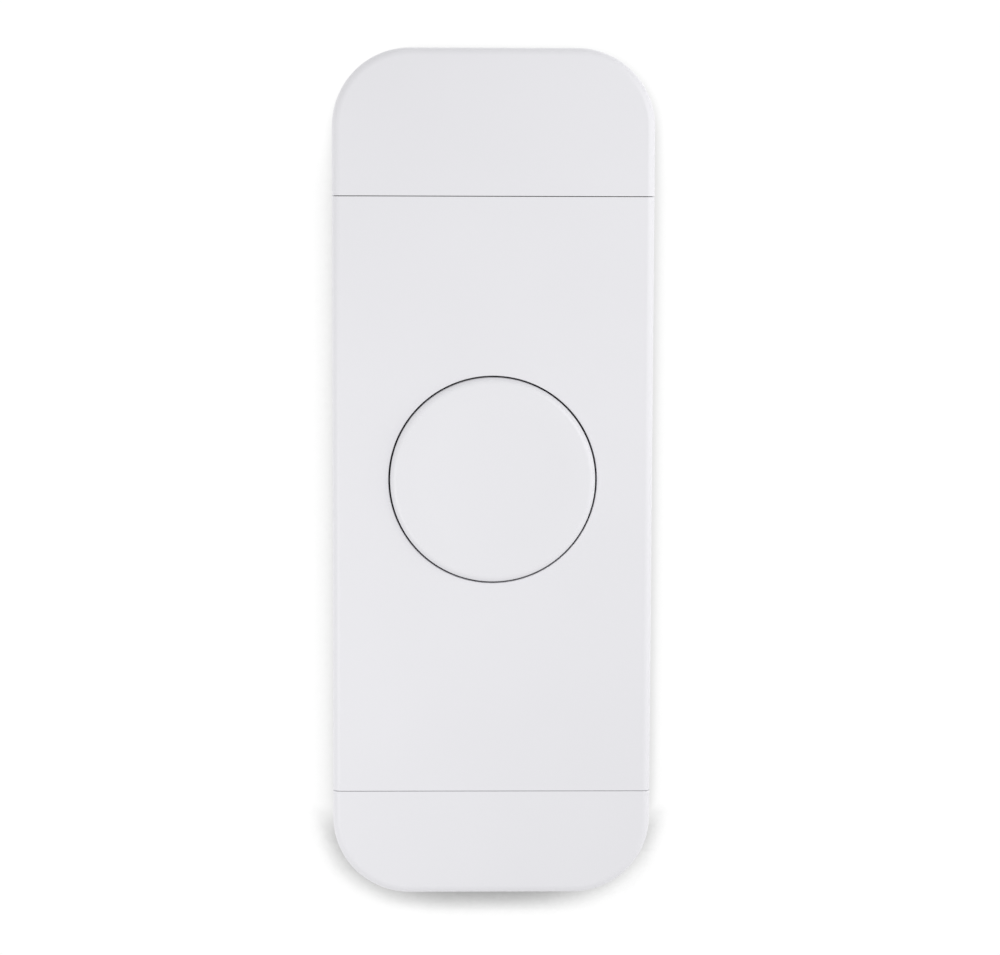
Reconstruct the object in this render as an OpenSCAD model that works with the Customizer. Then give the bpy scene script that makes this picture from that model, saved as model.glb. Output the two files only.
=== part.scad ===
// Doorbell unit for a wall: a slim upright casing with a round press button in the middle of its front.
// The origin is on the wall surface, behind the middle of the unit. The front faces -Y and the top +Z.

/* [Body] */
// Width of the unit
body_w = 48; // [47:0.5:52]
// Height of the unit
body_h = 127.5; // [126:0.5:134]
// Depth from the wall to the front face
body_d = 25; // [25:0.5:28]
// Radius of the four corners, seen from the front
corner_r = 11.6; // [10:0.2:12]
// Rounding of the front edge
edge_r = 1.2; // [0.6:0.1:1.6]
// Wall thickness of the centre shell and the covers
shell_t = 1.8; // [1.6:0.1:2]
// Gap between the casing's rear rim and the wall surface
rim_gap = 0.8; // [0.4:0.1:1.2]

/* [Covers] */
// Height of the top cover, from its seam to the top of the unit
top_cover_h = 21.9; // [21:0.1:23]
// Height of the bottom cover, from its seam to the foot of the unit
bottom_cover_h = 15.8; // [15:0.1:17]
// Width of the seam between a cover and the centre shell
seam = 0.22; // [0.1:0.02:0.4]

/* [Button] */
// Diameter of the button
button_dia = 30.6; // [28:0.2:31]
// Gap all round the button
button_gap = 0.4; // [0.3:0.05:0.6]
// How far the button's rim stands out of the front face
button_proud = 1; // [0.6:0.1:1.5]
// Diameter of the shallow dish in the button
dish_dia = 23.4; // [18:0.2:24]
// Depth of the dish at its middle
dish_depth = 0.6; // [0.3:0.05:0.8]
// Height of the button's centre above the middle of the unit
button_y = -0.5; // [-1:0.1:1]

/* [Battery] */
// Diameter of the battery cell
cell_dia = 16.8; // [16.4:0.1:17]
// Length of the cell's can, without its raised end contact
cell_len = 33.5; // [32:0.1:33.6]

/* [Wall plate] */
// Thickness of the wall plate
plate_t = 2.6; // [2.2:0.1:2.8]
// Diameter of the four holes for the wall screws
plate_hole_dia = 4.5; // [3.5:0.1:5]
// Distance across between the wall screws
plate_hole_across = 26; // [24:0.5:27]
// Distance up between the wall screws
plate_hole_up = 100; // [96:0.5:102]

/* [Hidden] */
$fn = 64;

// Casing. Heights up the wall are y, and depths out of the wall are z, in the frame of face_on().
fit = 0.3;
chassis_t = 1.5;
floor_low = 3.2;
floor_high = 5;
front_inner = body_d - shell_t;
chassis_rim = front_inner - 0.8;
inner_w = body_w - 2 * shell_t;
inner_h = body_h - 2 * shell_t;
inner_r = corner_r - shell_t;
chassis_w = inner_w - 2 * fit;
chassis_h = inner_h - 2 * fit;
chassis_r = inner_r - fit;
chassis_end = chassis_h / 2;
top_seam_y = body_h / 2 - top_cover_h;
low_seam_y = bottom_cover_h - body_h / 2;

// Rails inside the covers and the centre shell, and the grooves for them in the chassis
rail_depth = 9.8;
rail_t = 1.2;
rail_reach = fit + 0.6;
groove_t = rail_t + 0.4;
groove_depth = 0.7;

// Bays: the cell lies across the top bay, and the service bay is at the foot
cell_r = cell_dia / 2;
cell_y = chassis_end - cell_r - 2.85;
cell_z = floor_high + 0.6 + cell_r;
bay_wall_t = 1.2;
top_wall_y = cell_y - cell_r - 0.4 - bay_wall_t;
low_wall_y = low_seam_y + 0.55;
contact_x = 18.4;
contact_t = 0.3;

// Main board and what stands on it
board_low = 6.6;
board_t = 1.6;
board_top = board_low + board_t;
board_half_w = 19.7;
board_head_y = top_wall_y - 0.4;
board_foot_y = low_wall_y + bay_wall_t + 0.4;
board_notch_x = 11.8;
board_notch_h = 8.4;
board_screw_x = 17;
board_screw_ys = [25, -30];
terminal_x = 6.5;
terminal_y = -20;

// Posts that join the chassis to the centre shell
post_r = 2.6;
post_top = 13.9;
post_x = 15;
post_ys = [board_head_y - 4.5, board_foot_y + 4.8];

// Button and its frame
button_r = button_dia / 2;
hole_r = button_r + button_gap;
collar_r = hole_r + 1.5;
collar_low = front_inner - 2.2;
button_front = body_d + button_proud;
rim_round = 1;
flange_r = button_r + 1.5;
flange_low = collar_low - 1.6;
flange_high = collar_low - 0.4;
hollow_r = button_r - 1.9;
hollow_high = button_front - 2.6;
frame_low = 12;
frame_high = 13.6;
frame_screw_x = 14.5;
frame_screw_y = 15.5;
pin_circle = 10;
pin_r = 1.5;
pin_seat = 19;
pin_tip = frame_low - 0.6;
plunger_top = 13;
plunger_r = 1.6;
touch = 0.02;

// Service bay and release screw
service_low = 10.5;
service_t = 1;
service_top = service_low + service_t;
service_post = [7.6, -51.2];
pairing_y = -55.2;
release_z = 6;
lug_w = 8;
lug_y = [-57.7, -53.2];
hook_x = 8;
hook_y = 30;

// Turns a part drawn face-on (x across, y up the wall, z out of the wall) to its place on the wall
module face_on() {
    rotate([90, 0, 0]) children();
}

// A flat outline made solid between two depths
module layer(low, high) {
    translate([0, 0, low]) linear_extrude(high - low) children();
}

// A box given by its two ends along each axis
module block(x, y, z) {
    translate([x[0], y[0], z[0]]) cube([x[1] - x[0], y[1] - y[0], z[1] - z[0]]);
}

// A round post or hole that stands out of the wall
module peg(at, r, low, high) {
    translate([at[0], at[1], low]) cylinder(r = r, h = high - low);
}

// The same for each place in a list
module pegs(places, r, low, high) {
    for (at = places) peg(at, r, low, high);
}

// Both sides of the middle plane, at one height
function pair(x, y) = [[-x, y], [x, y]];

// The four places at plus and minus x and y round a centre height
function quad(x, y, centre_y = 0) = concat(pair(x, centre_y + y), pair(x, centre_y - y));

// Outline of a rectangle with round corners
module rounded_rect(w, h, r) {
    square([w - 2 * r, h], center = true);
    square([w, h - 2 * r], center = true);
    for (sx = [-1, 1], sy = [-1, 1]) translate([sx * (w / 2 - r), sy * (h / 2 - r)]) circle(r);
}

// Half section of a thick plate: reach wide and top high, its outer upper corner rounded
module edge_profile(reach, top, round) {
    square([reach - round, top]);
    square([reach, top - round]);
    translate([reach - round, top - round]) intersection() {
        circle(round);
        square(round);
    }
}

// A block with round corners whose front edge is rounded all round
module slab(w, h, r, top, round) {
    for (turn = [0, 180]) rotate([0, 0, turn]) {
        translate([r - w / 2, 0, 0])
            rotate([90, 0, 90]) linear_extrude(w - 2 * r) edge_profile(h / 2, top, round);
        translate([w / 2 - r, h / 2 - r, 0])
            rotate([90, 0, 0]) linear_extrude(h - 2 * r) edge_profile(r, top, round);
        translate([w / 2 - r, h / 2 - r, 0])
            rotate_extrude(angle = 90) edge_profile(r, top, round);
        translate([r - w / 2, h / 2 - r, 0])
            rotate([0, 0, 90]) rotate_extrude(angle = 90) edge_profile(r, top, round);
    }
}

// Outline of the chassis, moved in by a distance
module chassis_outline(inset) {
    rounded_rect(chassis_w - 2 * inset, chassis_h - 2 * inset, chassis_r - inset);
}

// The casing's outer skin between two heights, with its rails
module skin(y, rail_y) {
    intersection() {
        difference() {
            translate([0, 0, rim_gap]) slab(body_w, body_h, corner_r, body_d - rim_gap, edge_r);
            layer(0, front_inner) rounded_rect(inner_w, inner_h, inner_r);
        }
        block([-body_w, body_w], y, [0, 2 * body_d]);
    }
    for (side = [0, 1]) mirror([side, 0, 0])
        block(
            [inner_w / 2 - rail_reach, inner_w / 2 + 0.5],
            rail_y,
            [rail_depth - rail_t / 2, rail_depth + rail_t / 2]
        );
}

// A screw that points out of the wall, its round head at the wall side, with a cross recess
module screw(at, head_r, head_t, shank_r, seat, tip) {
    difference() {
        union() {
            peg(at, head_r, seat - head_t, seat);
            peg(at, shank_r, seat - 0.1, tip);
        }
        cross_recess(at, head_r, seat - head_t, 0.6 * head_t);
    }
}

// The same screw turned round: its head is on the front side and its tip points to the wall
module front_screw(at, head_r, head_t, shank_r, seat, tip) {
    difference() {
        union() {
            peg(at, head_r, seat, seat + head_t);
            peg(at, shank_r, tip, seat + 0.1);
        }
        cross_recess(at, head_r, seat + 0.4 * head_t, 0.7 * head_t);
    }
}

// Cross-shaped recess of a screw head
module cross_recess(at, head_r, low, deep) {
    reach = 0.55 * head_r;
    slot = 0.14 * head_r;
    translate([at[0], at[1], 0]) {
        block([-reach, reach], [-slot, slot], [low - 0.1, low + deep]);
        block([-slot, slot], [-reach, reach], [low - 0.1, low + deep]);
    }
}

// Points of one ring of wire round a coil's centre line at a given turn angle
function wire_ring(angle, r, z, wire_r, sides) = [
    for (k = [0 : sides - 1])
        let (a = 360 * k / sides, reach = r + wire_r * cos(a))
        [reach * cos(angle), reach * sin(angle), z + wire_r * sin(a)]
];

// A coil of round wire along Z, from radius r0 at z0 to radius r1 at z1
module coil(r0, r1, z0, z1, turns, wire_r) {
    sides = 6;
    steps = 14 * turns;
    points = [
        for (i = [0 : steps])
            let (t = i / steps)
            each wire_ring(360 * turns * t, r0 + (r1 - r0) * t, z0 + (z1 - z0) * t, wire_r, sides)
    ];
    walls = [
        for (i = [0 : steps - 1], k = [0 : sides - 1])
            let (a = i * sides + k, b = i * sides + (k + 1) % sides)
            [a, b, b + sides, a + sides]
    ];
    first = [for (k = [sides - 1 : -1 : 0]) k];
    last = [for (k = [0 : sides - 1]) steps * sides + k];
    polyhedron(points, concat(walls, [first], [last]), convexity = 10);
}

// Plate screwed to the wall: two windows, two hooks for the chassis and a lug for the release screw
module wall_plate() {
    window = [26, 21];
    color("gainsboro") face_on() difference() {
        union() {
            layer(0, plate_t) chassis_outline(chassis_t + 0.4);
            for (side = [-1, 1]) translate([side * hook_x, 0, 0]) {
                block([-2, 2], [hook_y, hook_y + 2], [plate_t - 0.1, 6.2]);
                block([-2, 2], [hook_y, hook_y + 4.5], [floor_high + 0.1, 6.2]);
            }
            block([-lug_w / 2, lug_w / 2], lug_y, [plate_t - 0.1, release_z + 3]);
        }
        pegs(quad(plate_hole_across / 2, plate_hole_up / 2), plate_hole_dia / 2, -1, plate_t + 1);
        for (at = quad(plate_hole_across / 2, plate_hole_up / 2))
            translate([at[0], at[1], plate_t - 1.4])
                cylinder(r1 = plate_hole_dia / 2, r2 = plate_hole_dia / 2 + 2.1, h = 2.1);
        for (y = [15, terminal_y])
            translate([0, y, 0]) layer(-1, plate_t + 1) rounded_rect(window[0], window[1], 3);
        translate([0, lug_y[0] - 1, release_z]) rotate([-90, 0, 0]) cylinder(r = 1.25, h = 8);
    }
}

// Rear tub: its floor hooks on the wall plate, and its walls carry the shell, the covers and the boards
module chassis() {
    bay_wall = [-chassis_w / 2 + 1, chassis_w / 2 - 1];
    color("whitesmoke") face_on() difference() {
        union() {
            difference() {
                layer(rim_gap, chassis_rim) chassis_outline(0);
                layer(floor_high, chassis_rim + 1) chassis_outline(chassis_t);
                layer(0, floor_low) chassis_outline(chassis_t);
            }
            block(bay_wall, [top_wall_y, top_wall_y + bay_wall_t], [floor_high - 0.1, chassis_rim]);
            block(bay_wall, [low_wall_y, low_wall_y + bay_wall_t], [floor_high - 0.1, chassis_rim]);
            for (y = board_screw_ys) pegs(pair(board_screw_x, y), 2.4, floor_high - 0.1, board_low);
            for (y = post_ys) pegs(pair(post_x, y), post_r, floor_high - 0.1, post_top);
            pegs(pair(terminal_x, terminal_y), 3.8, floor_high - 0.1, board_low);
            pegs(pair(service_post[0], service_post[1]), 2, floor_high - 0.1, service_low);
            block(
                [-lug_w / 2, lug_w / 2],
                [0.5 - chassis_end, lug_y[0] - 0.3],
                [floor_high - 0.1, release_z + 3.5]
            );
        }
        chassis_cuts();
    }
}

// Grooves, slots and holes of the chassis
module chassis_cuts() {
    for (side = [0, 1]) mirror([side, 0, 0]) {
        block(
            [chassis_w / 2 - groove_depth, chassis_w],
            [-body_h, body_h],
            [rail_depth - groove_t / 2, rail_depth + groove_t / 2]
        );
        block([hook_x - 2.3, hook_x + 2.3], [hook_y - 4, hook_y + 2.3], [0, floor_high + 1]);
        block([17.9, 20.1], [top_wall_y - 1, top_wall_y + bay_wall_t + 1], [8, 10.4]);
    }
    block([-lug_w / 2 - 0.4, lug_w / 2 + 0.4], [lug_y[0] - 0.3, lug_y[1] + 0.4], [0, floor_high + 0.5]);
    block([-3.6, 3.6], [low_wall_y - 1, low_wall_y + bay_wall_t + 1], [board_top, 9.8]);
    for (y = board_screw_ys) pegs(pair(board_screw_x, y), 1.05, 3.8, board_low + 1);
    for (y = post_ys) {
        pegs(pair(post_x, y), 2.4, 0, 4.8);
        pegs(pair(post_x, y), 1.25, 4.7, post_top + 1);
    }
    pegs(pair(terminal_x, terminal_y), 2.4, 0, board_low + 1);
    pegs(pair(service_post[0], service_post[1]), 0.85, 6, service_low + 1);
    translate([0, -chassis_end - 1, release_z]) rotate([-90, 0, 0]) {
        cylinder(r = 2.5, h = 2.8);
        cylinder(r = 1.4, h = 8);
    }
}

// Middle of the front: carries the button in a round collar, and is screwed on from behind
module center_shell() {
    color("white") face_on() difference() {
        union() {
            skin([low_seam_y + seam / 2, top_seam_y - seam / 2], [low_seam_y + 2, top_seam_y - 2]);
            peg([0, button_y], collar_r, collar_low, front_inner + 0.1);
            for (y = post_ys) pegs(pair(post_x, y), post_r, post_top + 0.1, front_inner + 0.1);
            pegs(quad(frame_screw_x, frame_screw_y, button_y), 2.2, frame_high, front_inner + 0.1);
        }
        peg([0, button_y], hole_r, collar_low - 1, body_d + 1);
        for (y = post_ys) pegs(pair(post_x, y), 1.2, post_top, 20.5);
        pegs(quad(frame_screw_x, frame_screw_y, button_y), 1, frame_high - 1, 19);
    }
}

// Top of the front: slides up off the chassis to reach the battery
module top_cover() {
    color("white") face_on()
        skin([top_seam_y + seam / 2, body_h], [top_seam_y + 1, body_h / 2 - corner_r]);
}

// Foot of the front: slides down off the chassis to reach the service bay
module bottom_cover() {
    color("white") face_on()
        skin([-body_h, low_seam_y - seam / 2], [corner_r - body_h / 2, low_seam_y - 0.6]);
}

// Section of the button's cap round its axis, with the dish as an arc
module cap_profile() {
    dish_r = dish_dia / 2;
    dish_ball = (dish_r * dish_r + dish_depth * dish_depth) / (2 * dish_depth);
    difference() {
        union() {
            translate([0, flange_low])
                edge_profile(button_r, button_front - flange_low, rim_round);
            translate([0, flange_low]) square([flange_r, flange_high - flange_low]);
        }
        translate([0, button_front - dish_depth + dish_ball]) circle(dish_ball, $fn = 720);
        translate([-1, flange_low - 1]) square([hollow_r + 1, hollow_high - flange_low + 1]);
    }
}

// Press button: a dished cap with a flange that keeps it in, three guide pins and a post for the switch
module button_cap() {
    color("white") face_on() translate([0, button_y, 0]) {
        rotate_extrude($fn = 128) cap_profile();
        peg([0, 0], 2.2, plunger_top + touch, hollow_high + 0.2);
        for (turn = [90, 210, 330]) rotate([0, 0, turn]) {
            peg([pin_circle, 0], 3, pin_seat, hollow_high + 0.2);
            peg([pin_circle, 0], pin_r, pin_tip, pin_seat + 0.2);
        }
    }
}

// Soft ring on the flange: closes the gap under the collar while the button is out
module button_seal() {
    color("dimgray") face_on() translate([0, button_y, 0]) difference() {
        peg([0, 0], flange_r - 0.2, flange_high, collar_low - touch);
        peg([0, 0], button_r + 0.05, flange_high - 1, collar_low + 1);
    }
}

// Plate behind the button: three bores guide the pins, and the springs stand on it
module button_frame() {
    color("silver") face_on() translate([0, button_y, 0]) difference() {
        layer(frame_low, frame_high) rounded_rect(34.5, 36.5, 3.5);
        peg([0, 0], 4, frame_low - 1, frame_high + 1);
        for (turn = [90, 210, 330]) rotate([0, 0, turn]) {
            peg([pin_circle, 0], pin_r + 0.05, frame_low - 1, frame_high + 1);
            peg([-pin_circle - 0.5, 0], 3.6, frame_low - 1, frame_high + 1);
        }
        pegs(quad(frame_screw_x, frame_screw_y), 1.05, frame_low - 1, frame_high + 1);
    }
}

// Four screws that hold the button frame to the centre shell
module frame_screws() {
    color("darkgray") face_on()
        for (at = quad(frame_screw_x, frame_screw_y, button_y))
            screw(at, 1.9, 1.3, 0.95, frame_low, 18);
}

// Three coils round the guide pins push the button out
module return_springs() {
    wire_r = 0.25;
    color("silver") face_on() translate([0, button_y, 0])
        for (turn = [90, 210, 330]) rotate([0, 0, turn]) translate([pin_circle, 0, 0])
            coil(2.15, 2.15, frame_high + wire_r + touch, pin_seat - wire_r - touch, 5, wire_r);
}

// Outline of the main board: its four corners are cut back for the posts
module board_outline() {
    difference() {
        translate([-board_half_w, board_foot_y])
            square([2 * board_half_w, board_head_y - board_foot_y]);
        for (side = [-1, 1], y = [board_foot_y, board_head_y])
            translate([side * (board_notch_x + 10), y])
                square([20, 2 * board_notch_h], center = true);
    }
}

// Printed circuit board that carries the switch, the radio and the power parts
module main_board() {
    color("darkgreen") face_on() difference() {
        layer(board_low, board_top) board_outline();
        for (y = board_screw_ys) pegs(pair(board_screw_x, y), 1.15, board_low - 1, board_top + 1);
    }
}

// Four screws that hold the main board to the chassis
module board_screws() {
    color("darkgray") face_on()
        for (y = board_screw_ys, at = pair(board_screw_x, y))
            front_screw(at, 1.9, 1.2, 1, board_top, 4);
}

// Body of the push switch under the button, with a bore for its plunger and four legs
module switch_body() {
    color("dimgray") face_on() translate([0, button_y, 0]) {
        difference() {
            block([-3.1, 3.1], [-3.1, 3.1], [board_top, 11.7]);
            peg([0, 0], plunger_r + 0.06, board_top + 1, 12);
        }
        for (x = [-4.1, 3.1], y = [-2.6, 1.8])
            block([x, x + 1], [y, y + 0.8], [board_top, board_top + 0.3]);
    }
}

// Round plunger of the push switch
module switch_plunger() {
    color("black") face_on() peg([0, button_y], plunger_r, plunger_top - 2.6, plunger_top);
}

// Pressed metal can over the radio
module radio_shield() {
    color("silver") face_on() translate([0, 26.5, 0]) difference() {
        layer(board_top, board_top + 2.6) rounded_rect(18, 11, 1);
        layer(board_top - 1, board_top + 2.3) rounded_rect(17.4, 10.4, 0.7);
    }
}

// Stamped antenna strip on two legs at the head of the board
module antenna() {
    y = [board_head_y - 2.2, board_head_y - 1.8];
    color("goldenrod") face_on() {
        block([-9.5, 9.5], y, [board_top + 1.6, board_top + 5]);
        for (x = [-9.5, -4.5]) block([x, x + 1.6], y, [board_top, board_top + 1.7]);
    }
}

// Packages on the main board: centre across and up, width, height and thickness of each
CHIPS = [
    [-11, 14.5, 8, 8, 1.1], [10.5, 14, 7, 8, 1], [-12, -13, 5, 5, 1], [11.5, -12.5, 6, 5, 1.2],
    [0, -10.5, 5, 4, 0.9], [0, 15.5, 3.2, 2.5, 0.9], [12.5, -34.2, 5, 4.4, 1], [-13, 0, 4, 6, 1],
];

// Processor, memory, power chips and two rows of small parts
module board_chips() {
    color("black") face_on() {
        for (c = CHIPS)
            block(
                [c[0] - c[2] / 2, c[0] + c[2] / 2],
                [c[1] - c[3] / 2, c[1] + c[3] / 2],
                [board_top, board_top + c[4]]
            );
        for (side = [-1, 1], i = [0 : 5])
            block(
                [side * 18.2 - 0.4, side * 18.2 + 0.4],
                [2.4 * i - 8, 2.4 * i - 6.4],
                [board_top, board_top + 0.6]
            );
    }
}

// Two upright storage capacitors
module capacitors() {
    color("slategray") face_on() pegs(pair(9.4, -27), 4, board_top, board_top + 7.4);
}

// Coil of the power converter in its square case
module inductor() {
    color("dimgray") face_on() translate([0, -35, 0]) difference() {
        layer(board_top, board_top + 3) rounded_rect(6.6, 6.6, 1.2);
        peg([0, 0], 2.2, board_top + 2.6, board_top + 4);
    }
}

// The cell lies across the top bay with its raised end contact on the left
module battery_cell() {
    contact_r = 3.2;
    round = 1;
    nub = 1;
    color("mediumseagreen") face_on()
        translate([contact_t - contact_x, cell_y, cell_z]) rotate([0, 90, 0]) {
            cylinder(r = contact_r, h = nub + 0.1);
            translate([0, 0, nub + cell_len / 2]) for (turn = [0, 180]) rotate([turn, 0, 0])
                rotate_extrude() edge_profile(cell_r, cell_len / 2, round);
        }
}

// Holder of the cell: a saddle between two end plates
module battery_cradle() {
    end_t = 1.2;
    y = [cell_y - 5.4, cell_y + 4.8];
    color("dimgray") face_on() difference() {
        union() {
            block([-contact_x - end_t, contact_x + end_t], y, [floor_high, floor_high + 0.5]);
            block([-12, 12], y, [floor_high, 8.5]);
            for (x = [-contact_x - end_t, contact_x])
                block([x, x + end_t], y, [floor_high, cell_z + 6]);
        }
        translate([-contact_x, cell_y, cell_z]) rotate([0, 90, 0])
            cylinder(r = cell_r + 0.1, h = 2 * contact_x);
    }
}

// Flat contact plate with a solder tail, at the given place across
module contact_plate(x) {
    block([x, x + contact_t], [cell_y - 4.4, cell_y + 4.2], [floor_high + 1.6, cell_z + 5]);
    block([x, x + contact_t], [cell_y - 7.4, cell_y - 4.3], [8.2, 10.2]);
}

// Plate that meets the cell's raised contact
module positive_contact() {
    color("silver") face_on() contact_plate(-contact_x);
}

// Plate with a cone of wire that presses on the cell's flat end
module negative_contact() {
    wire_r = 0.3;
    cell_end = contact_t - contact_x + 1 + cell_len;
    plate_x = contact_x - contact_t;
    color("silver") face_on() {
        contact_plate(plate_x);
        translate([0, cell_y, cell_z]) rotate([0, 90, 0])
            coil(2.2, 4.6, cell_end + wire_r + touch, plate_x - wire_r / 2, 2, wire_r);
    }
}

// Two wires from the contact tails through the bay wall to the main board
module battery_leads() {
    wire_r = 0.55;
    lead_x = contact_x + wire_r + touch;
    bend = 1.5;
    head = cell_y - 5.5;
    foot = 29.5;
    lead_z = board_top + bend;
    color("firebrick") face_on() for (side = [-1, 1]) translate([side * lead_x, foot, 0]) {
        translate([0, 0, lead_z]) rotate([-90, 0, 0]) cylinder(r = wire_r, h = head - foot);
        translate([0, 0, board_top]) rotate([0, -90, 0]) rotate([0, 0, -90])
            rotate_extrude(angle = 90) translate([bend, 0]) circle(wire_r);
    }
}

// Thin foam pad under the top cover that stops the cell from rattling
module battery_pad() {
    color("dimgray") face_on()
        translate([0, cell_y, 0]) layer(front_inner - 0.5, front_inner) rounded_rect(20, 9, 1.5);
}

// Two threaded metal bushes in the chassis floor
module terminal_inserts() {
    color("gold") face_on() difference() {
        pegs(pair(terminal_x, terminal_y), 2.38, floor_low, board_low);
        pegs(pair(terminal_x, terminal_y), 1.5, 0, board_low + 1);
    }
}

// Two square washers that clamp the bell wires
module terminal_clamps() {
    color("gold") face_on() difference() {
        for (at = pair(terminal_x, terminal_y))
            translate([at[0], at[1], 0]) layer(floor_low - 0.5, floor_low) rounded_rect(6.4, 6.4, 0.6);
        pegs(pair(terminal_x, terminal_y), 1.6, 0, floor_low + 1);
    }
}

// Two terminal screws for the bell wires, their heads in the wall plate's window
module terminal_screws() {
    color("silver") face_on()
        for (at = pair(terminal_x, terminal_y)) screw(at, 2.8, 1.5, 1.45, floor_low - 0.5, 6.3);
}

// Small board in the service bay
module service_board() {
    color("darkgreen") face_on() difference() {
        translate([0, -53.75, 0]) layer(service_low, service_top) rounded_rect(21, 9.5, 1);
        pegs(pair(service_post[0], service_post[1]), 1, service_low - 1, service_top + 1);
    }
}

// Two screws that hold the service board
module service_screws() {
    color("darkgray") face_on()
        for (at = pair(service_post[0], service_post[1]))
            front_screw(at, 1.6, 1, 0.8, service_top, 6.4);
}

// Body of the pairing switch
module pairing_switch() {
    color("dimgray") face_on() translate([0, pairing_y, 0]) difference() {
        block([-2.6, 2.6], [-2.6, 2.6], [service_top, service_top + 2.4]);
        peg([0, 0], 1.56, service_top + 0.6, service_top + 3);
    }
}

// Small press button on the pairing switch
module pairing_button() {
    color("orangered") face_on() translate([0, pairing_y, 0]) {
        peg([0, 0], 1.5, service_top + 1, service_top + 3.4);
        peg([0, 0], 2, service_top + 3.3, service_top + 5.8);
    }
}

// Small light beside the pairing button
module status_light() {
    color("lightyellow") face_on()
        block([6, 8], [pairing_y - 0.7, pairing_y + 0.7], [service_top, service_top + 0.9]);
}

// Flat cable from the main board through the bay wall to the service board
module flex_cable() {
    half_w = 3;
    t = 0.2;
    main_y = board_foot_y + 1.2;
    outer_y = low_wall_y - 0.4;
    service_y = -49.2;
    main_z = board_top + 0.6;
    service_z = service_top + 0.5;
    color("peru") face_on() translate([-half_w, 0, 0]) rotate([90, 0, 90])
        linear_extrude(2 * half_w) polygon([
            [main_y, main_z], [outer_y - t, main_z], [outer_y - 0.4 - t, service_z],
            [service_y, service_z], [service_y, service_z + t], [outer_y - 0.4, service_z + t],
            [outer_y, main_z + t], [main_y, main_z + t],
        ]);
}

// Sockets at both ends of the flat cable
module flex_connectors() {
    main_y = board_foot_y + 1.2;
    color("beige") face_on() {
        block([-4, 4], [main_y, main_y + 2.2], [board_top, board_top + 1.2]);
        block([-4, 4], [-51.4, -49.2], [service_top, service_top + 1.2]);
    }
}

// Four long screws from behind that hold the centre shell to the chassis
module shell_screws() {
    color("darkgray") face_on()
        for (y = post_ys, at = pair(post_x, y)) screw(at, 2.2, 1.4, 1.15, 4.75, 20);
}

// Screw from below that locks the chassis to the wall plate's lug
module release_screw() {
    seat = 1.8 - chassis_end;
    color("darkgray") face_on() translate([0, seat, release_z]) rotate([-90, 0, 0]) difference() {
        union() {
            translate([0, 0, -1.6]) cylinder(r = 2.3, h = 1.6);
            translate([0, 0, -0.1]) cylinder(r = 1.2, h = 6.4);
        }
        translate([0, 0, -2]) cylinder(r = 1.1, h = 1.4, $fn = 6);
    }
}

// Soft loop between the chassis walls and the centre shell
module shell_gasket() {
    low = chassis_rim + 0.05;
    high = front_inner - 0.05;
    mid_y = (top_wall_y + low_wall_y + bay_wall_t) / 2;
    loop_h = top_wall_y - low_wall_y + bay_wall_t - 0.2;
    loop_w = chassis_w - 0.4;
    color("dimgray") face_on() translate([0, mid_y, 0]) layer(low, high) difference() {
        rounded_rect(loop_w, loop_h, 1.2);
        rounded_rect(loop_w - 2, loop_h - 2, 0.8);
    }
}

wall_plate();
chassis();
center_shell();
top_cover();
bottom_cover();
button_cap();
button_seal();
button_frame();
frame_screws();
return_springs();
main_board();
board_screws();
switch_body();
switch_plunger();
radio_shield();
antenna();
board_chips();
capacitors();
inductor();
battery_cell();
battery_cradle();
positive_contact();
negative_contact();
battery_leads();
battery_pad();
terminal_inserts();
terminal_clamps();
terminal_screws();
service_board();
service_screws();
pairing_switch();
pairing_button();
status_light();
flex_cable();
flex_connectors();
shell_screws();
release_screw();
shell_gasket();
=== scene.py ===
"""Doorbell unit with a large round press button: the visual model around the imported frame."""

import math
from collections import namedtuple

import bmesh
import bpy
from mathutils import Matrix, Vector


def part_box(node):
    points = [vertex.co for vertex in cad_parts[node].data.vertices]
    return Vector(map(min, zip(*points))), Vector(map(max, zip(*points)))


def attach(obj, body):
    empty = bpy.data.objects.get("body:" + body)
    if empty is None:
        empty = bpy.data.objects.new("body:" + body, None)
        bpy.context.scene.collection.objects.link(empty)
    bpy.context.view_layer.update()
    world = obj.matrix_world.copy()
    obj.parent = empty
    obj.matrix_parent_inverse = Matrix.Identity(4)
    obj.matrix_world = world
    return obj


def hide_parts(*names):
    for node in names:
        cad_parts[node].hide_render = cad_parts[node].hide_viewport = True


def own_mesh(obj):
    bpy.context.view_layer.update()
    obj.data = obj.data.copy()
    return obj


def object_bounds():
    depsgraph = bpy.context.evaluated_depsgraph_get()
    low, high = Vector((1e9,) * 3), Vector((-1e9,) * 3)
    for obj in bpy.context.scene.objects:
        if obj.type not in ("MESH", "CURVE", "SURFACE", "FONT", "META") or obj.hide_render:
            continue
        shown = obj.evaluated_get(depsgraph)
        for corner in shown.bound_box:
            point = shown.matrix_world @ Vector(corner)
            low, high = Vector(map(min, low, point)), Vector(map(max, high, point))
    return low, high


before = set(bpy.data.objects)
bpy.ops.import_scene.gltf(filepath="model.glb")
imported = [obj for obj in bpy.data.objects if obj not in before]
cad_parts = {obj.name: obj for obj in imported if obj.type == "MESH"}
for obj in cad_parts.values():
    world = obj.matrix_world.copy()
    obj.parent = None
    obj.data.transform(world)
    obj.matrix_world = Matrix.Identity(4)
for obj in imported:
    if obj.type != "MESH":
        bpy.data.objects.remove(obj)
cad_low, cad_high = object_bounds()

# Lengths are millimetres in the face-on frame: x across, y up the wall, depth out of the wall.
# The stage, the lights and the camera at the end are in metres.
MM = 0.001

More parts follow.
